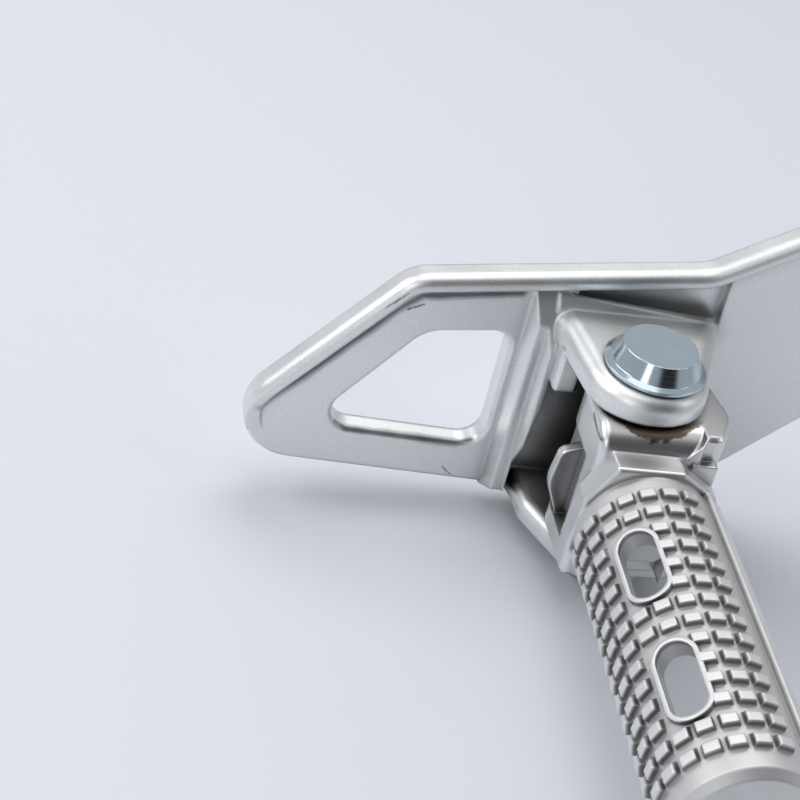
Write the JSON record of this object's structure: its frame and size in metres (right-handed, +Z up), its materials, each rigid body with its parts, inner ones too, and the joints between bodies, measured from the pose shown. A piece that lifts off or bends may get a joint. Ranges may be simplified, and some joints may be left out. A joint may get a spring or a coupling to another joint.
{
  "type": "motorcycle footrest bracket",
  "caption": "Cast aluminium footrest bracket with a trapezoid window and beaded upper edge, and a folding footpeg with a block tread hinged in its clevis by a coned pivot pin.",
  "frame": {"origin": "midway between the two mounting bolt holes, on the mounting face at the back of the bracket's arm", "axes": "+X forward along the plate from its tip to the arm, +Y inboard into the machine, the footpeg pointing to -Y, +Z up along the pivot pin towards its head"},
  "size_m": [0.1245, 0.1075, 0.0776],
  "materials": {
    "cast_aluminium": "satin silver casting",
    "peg_aluminium": "matte blasted casting",
    "zinc_steel": "bright bluish zinc plating",
    "spring_steel": "dull spring steel"
  },
  "bodies": {
    "bracket": {"bracket": "cast_aluminium", "pivot_pin": "zinc_steel", "retaining_ring": "spring_steel"},
    "footpeg": {"footpeg": "peg_aluminium"}
  },
  "joints": [
    {"name": "fold", "type": "hinge", "parent": "bracket", "child": "footpeg", "pos_m": [-0.0505, -0.024, -0.0337], "axis": [0, 0, -1], "range_deg": [0, 75]}
  ]
}
